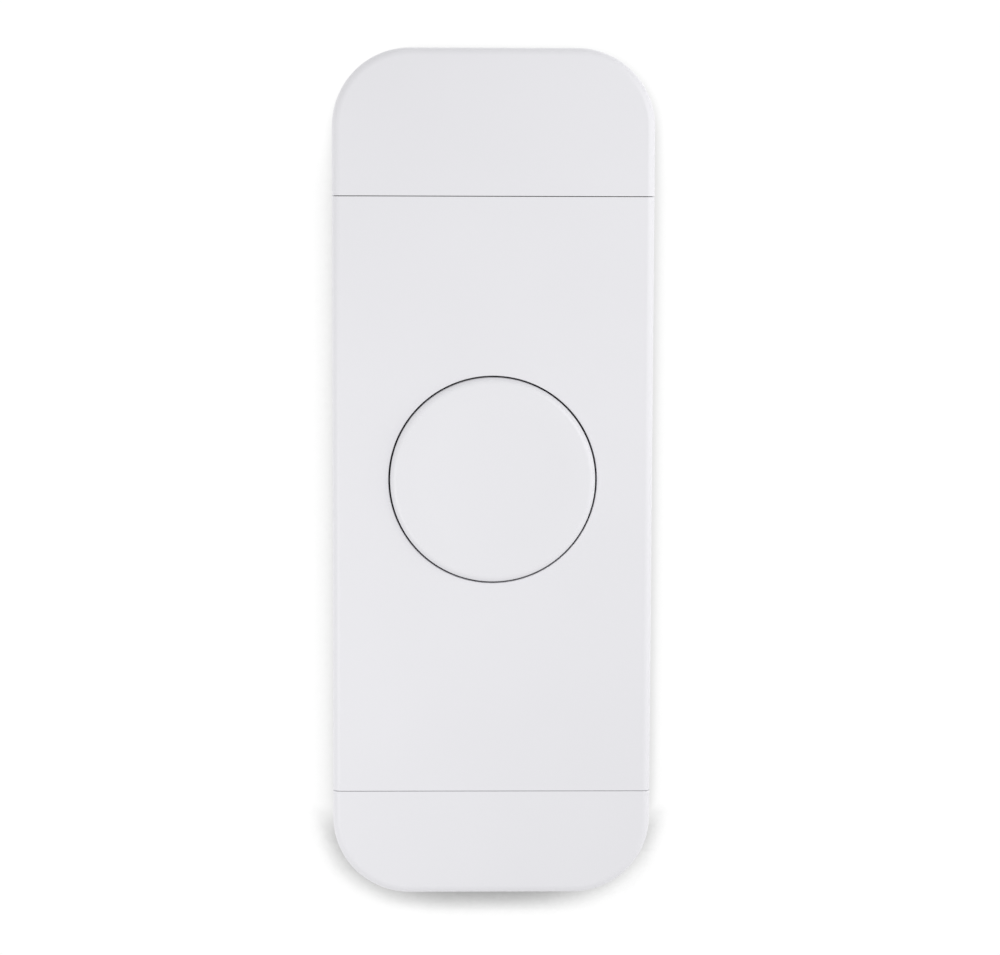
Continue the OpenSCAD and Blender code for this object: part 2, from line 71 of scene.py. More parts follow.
# Shells: outline, wall and soft edges
BODY_W = (cad_high.x - cad_low.x) / MM
BODY_H = (cad_high.z - cad_low.z) / MM
SHELL_LOW, SHELL_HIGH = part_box("center_shell")
FRONT = -SHELL_LOW.y / MM
RIM = -SHELL_HIGH.y / MM
CORNER_R = 11.6
EDGE_R = 1.2
SHELL_T = 1.8
FRONT_INNER = FRONT - SHELL_T
RIM_ROUND = 0.3
CORNER_STEPS = 28
EDGE_STEPS = 10
SEAM_SOFT = 0.05

# How far the shells on both sides of a seam reach into the CAD's gap
SEAM_SHUT_TOP = 0.05
SEAM_SHUT_LOW = 0.065

# Rails inside the shells, and how far added shapes sink into the wall they stand on
RAIL_DEPTHS = (9.2, 10.4)
RAIL_REACH = 0.9
RAIL_SINK = 0.5
CENTRE_RAIL_GAP = 1.9
TOP_RAIL_GAP = 0.9
LOW_RAIL_GAP = 0.5
SINK = 0.3

# Button and the collar round it
CAP_LOW, CAP_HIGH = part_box("button_cap")
CAP_FRONT = -CAP_LOW.y / MM
BUTTON_Y = (CAP_LOW.z + CAP_HIGH.z) / 2 / MM
BUTTON_R = 15.38
HOLE_R = 15.63
HOLE_SOFT = 0.12
COLLAR_R = 17.2
COLLAR_LOW = 21
FLANGE_R = 16.8
FLANGE_DEPTHS = (19.4, 20.6)
HOLLOW_R = 13.4
HOLLOW_TOP = 23.4
CAP_ROUND = 1.0
DISH_R = 11.9
DISH_BLEND = 1.6
DISH_DEPTH = 0.8
STEM_R = 2.2
STEM_TIP = 13.02
RING_STEPS = 160

# Guide pins under the button
PIN_CIRCLE = 10
PIN_TURNS = (90, 210, 330)
PIN_R = 1.5
PIN_TIP = 11.4
PIN_TIP_SOFT = (0.2, 0.3)
PIN_ROOT_R = 3
PIN_ROOT = 19

# Hollow screw posts behind the front: places, radius, foot, radius of the bore and its two ends
Post = namedtuple("Post", "places radius foot bore bore_ends")
SHELL_POST_PLACES = [(sx * 15, y) for sx in (-1, 1) for y in (35.5, -41)]
FRAME_POST_PLACES = [(sx * 14.5, BUTTON_Y + sy * 15.5) for sx in (-1, 1) for sy in (-1, 1)]
POSTS = (
    Post(SHELL_POST_PLACES, 2.6, 14, 1.2, (13, 20.5)),
    Post(FRAME_POST_PLACES, 2.2, 13.6, 1, (13, 19)),
)


def at(x, y, depth):
    """A point of the face-on frame in metres, in the frame of the model."""
    return Vector((x, -depth, y)) * MM


def arc(centre, radius, start, end, steps):
    """Points of an arc from one angle to another, in degrees, both ends included."""
    turns = [math.radians(start + (end - start) * i / steps) for i in range(steps + 1)]
    return [(centre[0] + radius * math.cos(t), centre[1] + radius * math.sin(t)) for t in turns]


# ---------------------------------------------------------------- mesh building


def skin_rings(bm, rings, closed):
    """Quads between rings of points that have the same count. Returns the rings as vertices."""
    made = [[bm.verts.new(at(*p)) for p in ring] for ring in rings]
    count = len(made[0])
    for a, b in zip(made, made[1:]):
        for i in range(count if closed else count - 1):
            j = (i + 1) % count
            bm.faces.new((a[i], a[j], b[j], b[i]))
    return made


def lathe(bm, profile, x=0.0, y=0.0, steps=RING_STEPS):
    """Turns a profile of (radius, depth) about an axis out of the wall. A radius of 0 closes it."""
    turns = [2 * math.pi * i / steps for i in range(steps)]
    rings = []
    for radius, depth in profile:
        if radius == 0:
            rings.append([bm.verts.new(at(x, y, depth))])
        else:
            ring = [(x + radius * math.cos(t), y + radius * math.sin(t), depth) for t in turns]
            rings.append([bm.verts.new(at(*p)) for p in ring])
    for a, b in zip(rings, rings[1:]):
        for i in range(steps):
            j = (i + 1) % steps
            corners = [a[i % len(a)], a[j % len(a)], b[j % len(b)], b[i % len(b)]]
            bm.faces.new(list(dict.fromkeys(corners)))


def cylinder(bm, x, y, radius, low, high, steps=48):
    """A closed round post out of the wall."""
    lathe(bm, [(0, low), (radius, low), (radius, high), (0, high)], x, y, steps)


def block(bm, xs, ys, depths):
    """A closed box between two values along each axis."""
    made = bmesh.ops.create_cube(bm, size=1)["verts"]
    middle = at(sum(xs) / 2, sum(ys) / 2, sum(depths) / 2)
    size = at(abs(xs[1] - xs[0]), abs(ys[1] - ys[0]), -abs(depths[1] - depths[0]))
    for v in made:
        v.co = middle + Vector((v.co.x * size.x, v.co.y * size.y, v.co.z * size.z))


def tube(bm, path, radius, sides=12):
    """A round wire along points of the face-on frame, with flat ends."""
    points = [at(*p) for p in path]
    up = Vector((0.3, 0.5, 0.8)).normalized()
    rings = []
    for i, p in enumerate(points):
        ahead = (points[min(i + 1, len(points) - 1)] - points[max(i - 1, 0)]).normalized()
        side = (up - ahead * up.dot(ahead)).normalized()
        up = side
        over = ahead.cross(side)
        ring = []
        for k in range(sides):
            t = 2 * math.pi * k / sides
            ring.append(bm.verts.new(p + (side * math.cos(t) + over * math.sin(t)) * radius * MM))
        rings.append(ring)
    for a, b in zip(rings, rings[1:]):
        for k in range(sides):
            j = (k + 1) % sides
            bm.faces.new((a[k], a[j], b[j], b[k]))
    bm.faces.new(rings[0][::-1])
    bm.faces.new(rings[-1])


def soften(bm, edges, width, segments=3):
    """Rounds the given edges."""
    bmesh.ops.bevel(
        bm,
        geom=edges,
        offset=width * MM,
        offset_type="OFFSET",
        segments=segments,
        profile=0.5,
        affect="EDGES",
        clamp_overlap=True,
    )


def to_object(bm, name):
    """The mesh as a new object, its faces turned outwards."""
    bmesh.ops.recalc_face_normals(bm, faces=bm.faces)
    mesh = bpy.data.meshes.new(name)
    bm.to_mesh(mesh)
    bm.free()
    obj = bpy.data.objects.new(name, mesh)
    bpy.context.scene.collection.objects.link(obj)
    return obj


def combine(base, other, operation):
    """base joined with other, or cut by it. other is used up."""
    change = base.modifiers.new("change", "BOOLEAN")
    change.operation = operation
    change.solver = "EXACT"
    change.object = other
    graph = bpy.context.evaluated_depsgraph_get()
    mesh = bpy.data.meshes.new_from_object(base.evaluated_get(graph))
    base.modifiers.clear()
    old = base.data
    base.data = mesh
    bpy.data.meshes.remove(old)
    bpy.data.objects.remove(other)


def finish_piece(obj, materials, body, stands_for, crease=35):
    """Smooth shading with true flat faces, then materials, body and replaced nodes."""
    for material in materials:
        obj.data.materials.append(material)
    obj.data.shade_smooth()
    obj.data.set_sharp_from_angle(angle=math.radians(crease))
    weights = obj.modifiers.new("flat faces stay flat", "WEIGHTED_NORMAL")
    weights.mode = "FACE_AREA"
    weights.keep_sharp = True
    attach(obj, body)
    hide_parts(*stands_for)
    return obj


# ---------------------------------------------------------------- materials

# Size of the broad changes of tone on plastic, and of the stains on metal
BROAD_TONE = 18
STAIN = 4


def new_material(name, colour, rough, metallic=0.0, ior=1.5):
    """A principled material whose uniform values sit on the shader itself."""
    mat = bpy.data.materials.new(name)
    mat.use_nodes = True
    shader = mat.node_tree.nodes["Principled BSDF"]
    shader.inputs["Base Color"].default_value = (*colour, 1)
    shader.inputs["Roughness"].default_value = rough
    shader.inputs["Metallic"].default_value = metallic
    shader.inputs["IOR"].default_value = ior
    return mat, shader


def noise(mat, size, detail=2.0, stretch=(1, 1, 1), seed=0.0):
    """Noise whose features are size millimetres across, fixed to the object."""
    tree = mat.node_tree
    place = tree.nodes.new("ShaderNodeTexCoord")
    scale = tree.nodes.new("ShaderNodeMapping")
    scale.inputs["Scale"].default_value = Vector(stretch) / (size * MM)
    scale.inputs["Location"].default_value = (seed, seed, seed)
    grain = tree.nodes.new("ShaderNodeTexNoise")
    grain.inputs["Scale"].default_value = 1.0
    grain.inputs["Detail"].default_value = detail
    tree.links.new(place.outputs["Object"], scale.inputs["Vector"])
    tree.links.new(scale.outputs["Vector"], grain.inputs["Vector"])
    return grain.outputs["Fac"]


def spread(mat, value, low, high):
    """A value of 0.3 to 0.7 spread over low to high."""
    node = mat.node_tree.nodes.new("ShaderNodeMapRange")
    node.inputs["From Min"].default_value = 0.3
    node.inputs["From Max"].default_value = 0.7
    node.inputs["To Min"].default_value = low
    node.inputs["To Max"].default_value = high
    mat.node_tree.links.new(value, node.inputs["Value"])
    return node.outputs["Result"]


def tones(mat, value, dark, light):
    """Two colours blended by a noise value."""
    ramp = mat.node_tree.nodes.new("ShaderNodeValToRGB")
    ramp.color_ramp.elements[0].position = 0.3
    ramp.color_ramp.elements[1].position = 0.7
    ramp.color_ramp.elements[0].color = (*dark, 1)
    ramp.color_ramp.elements[1].color = (*light, 1)
    mat.node_tree.links.new(value, ramp.inputs["Fac"])
    return ramp.outputs["Color"]


def bump(mat, shader, height, depth, strength=0.5):
    """Relief of the given depth in millimetres."""
    node = mat.node_tree.nodes.new("ShaderNodeBump")
    node.inputs["Strength"].default_value = strength
    node.inputs["Distance"].default_value = depth * MM
    mat.node_tree.links.new(height, node.inputs["Height"])
    mat.node_tree.links.new(node.outputs["Normal"], shader.inputs["Normal"])


def scaled(colour, factor):
    """The colour made lighter or darker."""
    return tuple(min(1.0, c * factor) for c in colour)


def moulded(name, colour, rough, grain=0.22, relief=0.006, tone=0.02, seed=0.0):
    """Moulded plastic: a fine eroded texture, and broad soft changes of tone and gloss."""
    mat, shader = new_material(name, colour, rough)
    links = mat.node_tree.links
    broad = noise(mat, BROAD_TONE, 3, seed=seed)
    fine = noise(mat, grain, 2, seed=seed)
    shade = tones(mat, broad, scaled(colour, 1 - tone), scaled(colour, 1 + tone))
    links.new(shade, shader.inputs["Base Color"])
    links.new(spread(mat, fine, rough - 0.06, rough + 0.06), shader.inputs["Roughness"])
    bump(mat, shader, fine, relief)
    return mat


def metal(name, colour, rough, stretch=(1, 1, 1), grain=0.3, relief=0.003, tone=0.06):
    """Plated metal with fine drawn or brushed marks."""
    mat, shader = new_material(name, colour, rough, metallic=1.0)
    links = mat.node_tree.links
    marks = noise(mat, grain, 3, stretch)
    stains = noise(mat, STAIN, 3, seed=3.0)
    shade = tones(mat, stains, scaled(colour, 1 - tone), scaled(colour, 1 + tone))
    links.new(shade, shader.inputs["Base Color"])
    links.new(spread(mat, marks, rough - 0.08, rough + 0.1), shader.inputs["Roughness"])
    bump(mat, shader, marks, relief)
    return mat


def soft_material(name, colour, rough, grain, relief):
    """Rubber or foam: matt, with a fine open grain."""
    mat, shader = new_material(name, colour, rough)
    links = mat.node_tree.links
    fine = noise(mat, grain, 4)
    shade = tones(mat, fine, scaled(colour, 0.75), scaled(colour, 1.3))
    links.new(shade, shader.inputs["Base Color"])
    links.new(spread(mat, fine, rough - 0.08, min(1.0, rough + 0.08)), shader.inputs["Roughness"])
    bump(mat, shader, fine, relief, 0.8)
    return mat


def circuit_board(name):
    """Green solder mask over copper tracks, with small plated holes."""
    mat, shader = new_material(name, (0.01, 0.09, 0.035), 0.3)
    tree = mat.node_tree
    links = tree.links
    place = tree.nodes.new("ShaderNodeTexCoord")
    flat = tree.nodes.new("ShaderNodeMapping")
    flat.inputs["Rotation"].default_value = (math.radians(-90), 0, 0)
    flat.inputs["Scale"].default_value = (1 / MM,) * 3
    links.new(place.outputs["Object"], flat.inputs["Vector"])
    tracks = tree.nodes.new("ShaderNodeTexBrick")
    tracks.offset = 0.37
    tracks.inputs["Scale"].default_value = 1.0
    tracks.inputs["Brick Width"].default_value = 9.0
    tracks.inputs["Row Height"].default_value = 0.65
    tracks.inputs["Mortar Size"].default_value = 0.08
    tracks.inputs["Mortar Smooth"].default_value = 0.2
    tracks.inputs["Color1"].default_value = (0.01, 0.085, 0.033, 1)
    tracks.inputs["Color2"].default_value = (0.012, 0.1, 0.04, 1)
    tracks.inputs["Mortar"].default_value = (0.022, 0.155, 0.06, 1)
    links.new(flat.outputs["Vector"], tracks.inputs["Vector"])
    holes = tree.nodes.new("ShaderNodeTexVoronoi")
    holes.inputs["Scale"].default_value = 0.42
    links.new(flat.outputs["Vector"], holes.inputs["Vector"])
    ring = tree.nodes.new("ShaderNodeMath")
    ring.operation = "LESS_THAN"
    ring.inputs[1].default_value = 0.12
    links.new(holes.outputs["Distance"], ring.inputs[0])
    mix = tree.nodes.new("ShaderNodeMix")
    mix.data_type = "RGBA"
    mix.inputs["B"].default_value = (0.6, 0.45, 0.2, 1)
    links.new(ring.outputs["Value"], mix.inputs["Factor"])
    links.new(tracks.outputs["Color"], mix.inputs["A"])
    links.new(mix.outputs["Result"], shader.inputs["Base Color"])
    links.new(spread(mat, noise(mat, 6), 0.22, 0.38), shader.inputs["Roughness"])
    bump(mat, shader, tracks.outputs["Fac"], 0.03, 0.6)
    return mat


CASING = moulded("casing white", (0.797, 0.793, 0.822), 0.42, tone=0.006)
BUTTON = moulded("button white", (0.80, 0.797, 0.825), 0.38, tone=0.004, seed=5.0)
CHASSIS = moulded("chassis plastic", (0.74, 0.74, 0.73), 0.5, tone=0.02, seed=9.0)
PLATE = moulded("plate plastic", (0.6, 0.61, 0.62), 0.52, tone=0.03, seed=2.0)
FRAME_PLASTIC = moulded("frame plastic", (0.45, 0.46, 0.48), 0.45, tone=0.03, seed=4.0)
BLACK = moulded("black plastic", (0.02, 0.02, 0.022), 0.4, tone=0.2, seed=6.0)
BEIGE = moulded("beige plastic", (0.72, 0.66, 0.52), 0.4, tone=0.03, seed=7.0)
ORANGE = moulded("pairing orange", (0.75, 0.16, 0.03), 0.35, tone=0.05, seed=8.0)
CHIP = moulded("chip", (0.03, 0.03, 0.032), 0.5, grain=0.12, tone=0.15)
SEAL = soft_material("soft seal", (0.12, 0.12, 0.125), 0.7, 0.2, 0.01)
FOAM = soft_material("foam", (0.07, 0.07, 0.075), 0.95, 0.35, 0.12)
ZINC = metal("zinc steel", (0.62, 0.62, 0.6), 0.32)
SPRING = metal("spring steel", (0.55, 0.56, 0.58), 0.22, grain=0.15)
NICKEL = metal("nickel", (0.66, 0.63, 0.56), 0.24, stretch=(1, 1, 0.15))
BRASS = metal("brass", (0.75, 0.55, 0.22), 0.28)
CAN = metal("capacitor can", (0.5, 0.53, 0.58), 0.3, stretch=(0.2, 1, 1))
FERRITE = soft_material("ferrite", (0.06, 0.06, 0.065), 0.75, 0.15, 0.02)
WRAP = moulded("cell wrap", (0.03, 0.32, 0.14), 0.25, grain=2.5, relief=0.03, tone=0.08)
LEAD = moulded("lead insulation", (0.5, 0.02, 0.02), 0.35, grain=0.6, tone=0.1)
LENS = moulded("light lens", (0.85, 0.85, 0.7), 0.15, tone=0.03)
FILM = moulded("flex film", (0.55, 0.25, 0.05), 0.25, grain=1.5, tone=0.08)
BOARD = circuit_board("circuit board")


# ---------------------------------------------------------------- shells


def shell_section():
    """The shell's section as (inset, depth), from the inside of its front to the outside."""
    inner_rim = arc((SHELL_T - RIM_ROUND, RIM + RIM_ROUND), RIM_ROUND, 0, -90, 4)
    outer_rim = arc((RIM_ROUND, RIM + RIM_ROUND), RIM_ROUND, -90, -180, 4)
    edge = arc((EDGE_R, FRONT - EDGE_R), EDGE_R, 180, 90, EDGE_STEPS)
    return [(SHELL_T, FRONT_INNER), *inner_rim, *outer_rim, *edge]


def cover_path(inset, seam_y, side):
    """A cover's outline moved in by inset: up one side, round both corners and down the other."""
    reach = BODY_W / 2 - CORNER_R
    rise = BODY_H / 2 - CORNER_R
    radius = CORNER_R - inset
    left = arc((-reach, rise), radius, 180, 90, CORNER_STEPS)
    right = arc((reach, rise), radius, 90, 0, CORNER_STEPS)
    corners = [(x, side * y) for x, y in [*left, *right]]
    half = BODY_W / 2 - inset
    return [(-half, seam_y), *corners, (half, seam_y)]


def cover(name, seam_y, side, rail_ys):
    """A cover at the head (side 1) or the foot (side -1) of the unit, open at its seam."""
    bm = bmesh.new()
    rings = []
    for inset, depth in shell_section():
        rings.append([(x, y, depth) for x, y in cover_path(inset, seam_y, side)])
    made = skin_rings(bm, rings, closed=False)
    bm.faces.new(made[0])
    bm.faces.new(made[-1])
    mouth = bm.faces.new([r[0] for r in made] + [r[-1] for r in reversed(made)])
    soften(bm, list(mouth.edges), SEAM_SOFT)
    return with_rails(to_object(bm, name), rail_ys)


def with_rails(shell, rail_ys, more=lambda bm: None):
    """The shell joined with its two rails, and with what more() adds."""
    bm = bmesh.new()
    wall = BODY_W / 2 - SHELL_T
    for side in (-1, 1):
        block(bm, (side * (wall - RAIL_REACH), side * (wall + RAIL_SINK)), rail_ys, RAIL_DEPTHS)
    more(bm)
    combine(shell, to_object(bm, "additions"), "UNION")
    return shell


def soften_hole(shell):
    """Rounds the edge of the button's hole at the front."""
    bm = bmesh.new()
    bm.from_mesh(shell.data)
    middle = at(0, BUTTON_Y, FRONT)
    lip = []
    for e in bm.edges:
        on_rim = [abs((v.co - middle).length - HOLE_R * MM) < 0.01 * MM for v in e.verts]
        on_front = [abs(v.co.y - middle.y) < 0.001 * MM for v in e.verts]
        if all(on_rim) and all(on_front):
            lip.append(e)
    soften(bm, lip, HOLE_SOFT)
    bm.to_mesh(shell.data)
    bm.free()


def centre_shell(low_y, high_y, rail_ys):
    """The middle of the front: a channel with the button's hole, its collar and screw posts."""
    bm = bmesh.new()
    outline = [(inset - BODY_W / 2, depth) for inset, depth in shell_section()]
    outline += [(-x, depth) for x, depth in reversed(outline)]
    rings = [[(x, y, depth) for x, depth in outline] for y in (low_y, high_y)]
    made = skin_rings(bm, rings, closed=True)
    mouths = [bm.faces.new(made[0][::-1]), bm.faces.new(made[1])]
    soften(bm, [e for m in mouths for e in m.edges], SEAM_SOFT)
    shell = to_object(bm, "front_center_shell")

    def additions(more):
        sunk = FRONT_INNER + SINK
        cylinder(more, 0, BUTTON_Y, COLLAR_R, COLLAR_LOW, sunk, RING_STEPS)
        for post in POSTS:
            for x, y in post.places:
                cylinder(more, x, y, post.radius, post.foot, sunk)

    with_rails(shell, rail_ys, additions)
    bm = bmesh.new()
    cylinder(bm, 0, BUTTON_Y, HOLE_R, COLLAR_LOW - 1, FRONT + 1, RING_STEPS)
    for post in POSTS:
        for x, y in post.places:
            cylinder(bm, x, y, post.bore, *post.bore_ends)
    combine(shell, to_object(bm, "holes"), "DIFFERENCE")
    soften_hole(shell)
    return shell


def node_span(node):
    """Lowest and highest height of a CAD node, in millimetres."""
    low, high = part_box(node)
    return low.z / MM, high.z / MM


LOW_Y, HIGH_Y = node_span("center_shell")
TOP_SEAM_Y = node_span("top_cover")[0]
LOW_SEAM_Y = node_span("bottom_cover")[1]

centre_rails = (LOW_Y + CENTRE_RAIL_GAP, HIGH_Y - CENTRE_RAIL_GAP)
center = centre_shell(LOW_Y - SEAM_SHUT_LOW, HIGH_Y + SEAM_SHUT_TOP, centre_rails)
finish_piece(center, [CASING], "base", ["center_shell"])
top_rails = (TOP_SEAM_Y + TOP_RAIL_GAP, BODY_H / 2 - CORNER_R)
top = cover("front_top_cover", TOP_SEAM_Y - SEAM_SHUT_TOP, 1, top_rails)
finish_piece(top, [CASING], "top_cover", ["top_cover"])
low_rails = (CORNER_R - BODY_H / 2, LOW_SEAM_Y - LOW_RAIL_GAP)
bottom = cover("front_bottom_cover", LOW_SEAM_Y + SEAM_SHUT_LOW, -1, low_rails)
finish_piece(bottom, [CASING], "bottom_cover", ["bottom_cover"])


# ---------------------------------------------------------------- button


def dish_profile(steps=48):
    """The dish as (radius, depth) from the middle out: a bowl that runs out softly at its edge."""
    outer = DISH_R + DISH_BLEND
    radii = [outer * i / steps for i in range(steps + 1)]

    def slope(r):
        if r < DISH_R - DISH_BLEND:
            return r
        t = (r - DISH_R + DISH_BLEND) / (2 * DISH_BLEND)
        return (DISH_R - DISH_BLEND) * (1 - t) ** 2 * (1 + 2 * t)

    rise = [0.0]
    for a, b in zip(radii, radii[1:]):
        rise.append(rise[-1] + (slope(a) + slope(b)) / 2 * (b - a))
    return [(r, CAP_FRONT - DISH_DEPTH * (1 - h / rise[-1])) for r, h in zip(radii, rise)]


def pin_places():
    """The centres of the guide pins across and up."""
    turns = [math.radians(turn) for turn in PIN_TURNS]
    return [(PIN_CIRCLE * math.cos(t), BUTTON_Y + PIN_CIRCLE * math.sin(t)) for t in turns]


def cap():
    """The press button: a dished cap with its flange and stem, joined with three guide pins."""
    bm = bmesh.new()
    rim = arc((BUTTON_R - CAP_ROUND, CAP_FRONT - CAP_ROUND), CAP_ROUND, 90, 0, 12)
    soft = 0.15
    outside = [
        (BUTTON_R, FLANGE_DEPTHS[1]),
        (FLANGE_R - soft, FLANGE_DEPTHS[1]),
        (FLANGE_R, FLANGE_DEPTHS[1] - soft),
        (FLANGE_R, FLANGE_DEPTHS[0] + soft),
        (FLANGE_R - soft, FLANGE_DEPTHS[0]),
    ]
    inside = [
        (HOLLOW_R, FLANGE_DEPTHS[0]),
        (HOLLOW_R, HOLLOW_TOP),
        (STEM_R, HOLLOW_TOP),
        (STEM_R, STEM_TIP + soft),
        (STEM_R - soft, STEM_TIP),
        (0, STEM_TIP),
    ]
    lathe(bm, [*dish_profile(), *rim, *outside, *inside], 0, BUTTON_Y)
    obj = to_object(bm, "press_button")
    tip = [(0, PIN_TIP), (PIN_R - PIN_TIP_SOFT[0], PIN_TIP), (PIN_R, PIN_TIP + PIN_TIP_SOFT[1])]
    root = [(PIN_R, PIN_ROOT), (PIN_ROOT_R, PIN_ROOT)]
    head = [(PIN_ROOT_R, HOLLOW_TOP + SINK), (0, HOLLOW_TOP + SINK)]
    bm = bmesh.new()
    for x, y in pin_places():
        lathe(bm, [*tip, *root, *head], x, y, 40)
    combine(obj, to_object(bm, "pins"), "UNION")
    return obj


finish_piece(cap(), [BUTTON], "button", ["button_cap"], crease=40)


# ---------------------------------------------------------------- CAD nodes made finer


def refined(node, material, width=0.12, body="base", segments=2, crease=32):
    """A copy of a CAD node with its flat faces made whole and its sharp edges rounded."""
    bm = bmesh.new()
    bm.from_mesh(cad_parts[node].data)
    bmesh.ops.remove_doubles(bm, verts=bm.verts, dist=2e-6)
    bmesh.ops.dissolve_limit(
        bm,
        angle_limit=math.radians(0.6),
        use_dissolve_boundaries=False,
        verts=bm.verts,
        edges=bm.edges,
    )
    sharp = [
        e
        for e in bm.edges
        if len(e.link_faces) == 2 and e.calc_face_angle(0) > math.radians(crease)
    ]
    soften(bm, sharp, width, segments)
    return finish_piece(to_object(bm, "fine_" + node), [material], body, [node])


for node, material, slot, width in (
    ("wall_plate", PLATE, "plate_plastic", 0.2),
    ("chassis", CHASSIS, "chassis_plastic", 0.12),
    ("button_frame", FRAME_PLASTIC, "frame_plastic", 0.15),
    ("frame_screws", ZINC, "zinc_steel", 0.08),
    ("main_board", BOARD, "circuit_board", 0.05),
    ("board_screws", ZINC, "zinc_steel", 0.08),
    ("switch_body", BLACK, "black_plastic", 0.08),
    ("radio_shield", NICKEL, "nickel", 0.12),
    ("antenna", BRASS, "brass", 0.06),
    ("inductor", FERRITE, "ferrite", 0.2),
    ("battery_cradle", BLACK, "black_plastic", 0.15),
    ("terminal_inserts", BRASS, "brass", 0.08),
    ("terminal_clamps", BRASS, "brass", 0.08),
    ("terminal_screws", NICKEL, "nickel", 0.1),
    ("service_board", BOARD, "circuit_board", 0.05),
    ("service_screws", ZINC, "zinc_steel", 0.07),
    ("pairing_switch", BLACK, "black_plastic", 0.1),
    ("status_light", LENS, "light_lens", 0.15),
    ("flex_cable", FILM, "flex_film", 0.04),
    ("flex_connectors", BEIGE, "beige_plastic", 0.1),
    ("shell_screws", ZINC, "zinc_steel", 0.1),
    ("release_screw", ZINC, "zinc_steel", 0.1),
    ("shell_gasket", SEAL, "soft_seal", 0.15),
):
    refined(node, material, width)
refined("battery_pad", FOAM, 0.12, body="top_cover")
refined("button_seal", SEAL, 0.1, body="button")
refined("switch_plunger", BLACK, 0.15, body="plunger")
refined("pairing_button", ORANGE, 0.25, body="pairing")


# ---------------------------------------------------------------- small parts built anew


def prism(bm, outline, low, high, place, soft):
    """An outline of (u, v) made solid between two values of w. place() turns (u, v, w) face-on."""
    ends = []
    for w in (low, high):
        ends.append([bm.verts.new(at(*place(u, v, w))) for u, v in outline])
    faces = [bm.faces.new(ends[0][::-1]), bm.faces.new(ends[1])]
    for i in range(len(outline)):
        j = (i + 1) % len(outline)
        faces.append(bm.faces.new((ends[0][i], ends[0][j], ends[1][j], ends[1][i])))
    soften(bm, list(dict.fromkeys(e for f in faces for e in f.edges)), soft, 2)


def mark(bm, before, index):
    """Gives the faces that are new since before a material number, and returns all faces."""
    for face in bm.faces:
        if face not in before:
            face.material_index = index
    return set(bm.faces)


def lay_across(bm, centre_y, depth):
    """Turns what was made about an axis out of the wall so that its axis lies across the unit."""
    turn = Matrix.Rotation(math.radians(90), 4, "Z")
    place = Matrix.Translation(at(0, centre_y, depth))
    for v in bm.verts:
        v.co = place @ turn @ v.co


CELL_LOW, CELL_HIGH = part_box("battery_cell")
CELL_Y = (CELL_LOW.z + CELL_HIGH.z) / 2 / MM
CELL_DEPTH = -(CELL_LOW.y + CELL_HIGH.y) / 2 / MM
CELL_R = (CELL_HIGH.z - CELL_LOW.z) / 2 / MM
CELL_LEFT = CELL_LOW.x / MM
CELL_RIGHT = CELL_HIGH.x / MM
CAN_ROUND = 1
CONTACT_RISE = 1
SLEEVE_FOLD = 1.5
GROOVE_FROM_SHOULDER = 2.4
# Along the cell from the groove's middle, and depth of the groove there
GROOVE = ((-0.6, 0), (-0.3, 0.25), (0, 0.35), (0.3, 0.25), (0.6, 0))


def cell():
    """The cell: a sleeved can with a groove near its raised contact, and bare metal ends."""
    bm = bmesh.new()
    shoulder = CELL_LEFT + CONTACT_RISE
    fold = CELL_R - SLEEVE_FOLD
    left = arc((CELL_R - CAN_ROUND, shoulder + CAN_ROUND), CAN_ROUND, 270, 360, 8)
    right = arc((CELL_R - CAN_ROUND, CELL_RIGHT - CAN_ROUND), CAN_ROUND, 0, 90, 8)
    contact = [(0, CELL_LEFT), (2.8, CELL_LEFT), (3.1, CELL_LEFT + 0.15), (3.2, CELL_LEFT + 0.5)]
    collar = [(3.3, 0.15), (5.2, 0.15), (5.4, 0.1), (fold, 0.1), (fold, 0)]
    collar = [(radius, shoulder + rise) for radius, rise in collar]
    groove_x = shoulder + GROOVE_FROM_SHOULDER
    groove = [(CELL_R - deep, groove_x + along) for along, deep in GROOVE]
    base = [(fold, CELL_RIGHT), (fold - 0.05, CELL_RIGHT - 0.08), (0, CELL_RIGHT - 0.08)]
    lathe(bm, [*contact, *collar, *left, *groove, *right, *base], steps=96)
    for face in bm.faces:
        middle = face.calc_center_median()
        bare = math.hypot(middle.x, middle.z) < (fold + 0.02) * MM
        face.material_index = 1 if bare else 0
    lay_across(bm, CELL_Y, CELL_DEPTH)
    return to_object(bm, "sleeved_cell")


finish_piece(cell(), [WRAP, NICKEL], "base", ["battery_cell"])

PLATE_LOW, PLATE_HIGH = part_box("positive_contact")
PLATE_T = 0.3
TAIL_DROP = 3
TAIL_DEPTHS = (8.2, 10.2)


def contact_plate(bm, low_x):
    """A spring plate with a solder tail at its foot, standing across the unit."""
    foot, head = PLATE_LOW.z / MM, PLATE_HIGH.z / MM
    back, front = -PLATE_HIGH.y / MM, -PLATE_LOW.y / MM
    tail = foot + TAIL_DROP
    tail_back, tail_front = TAIL_DEPTHS
    outline = [(tail, back), (head, back), (head, front), (tail, front)]
    outline += [(tail, tail_front), (foot, tail_front), (foot, tail_back), (tail, tail_back)]
    prism(bm, outline, low_x, low_x + PLATE_T, lambda u, v, w: (w, u, v), 0.08)


def coil_path(r0, r1, low, high, turns, flat_ends, steps=20):
    """Points (x, y, along) of a coil about an axis, its ends lying flat for a share of a turn."""
    points = []
    count = int(steps * turns)
    for i in range(count + 1):
        turn = turns * i / count
        t = min(1.0, max(0.0, (turn - flat_ends) / (turns - 2 * flat_ends)))
        radius = r0 + (r1 - r0) * i / count
        angle = 2 * math.pi * turn
        points.append((radius * math.cos(angle), radius * math.sin(angle), low + (high - low) * t))
    return points


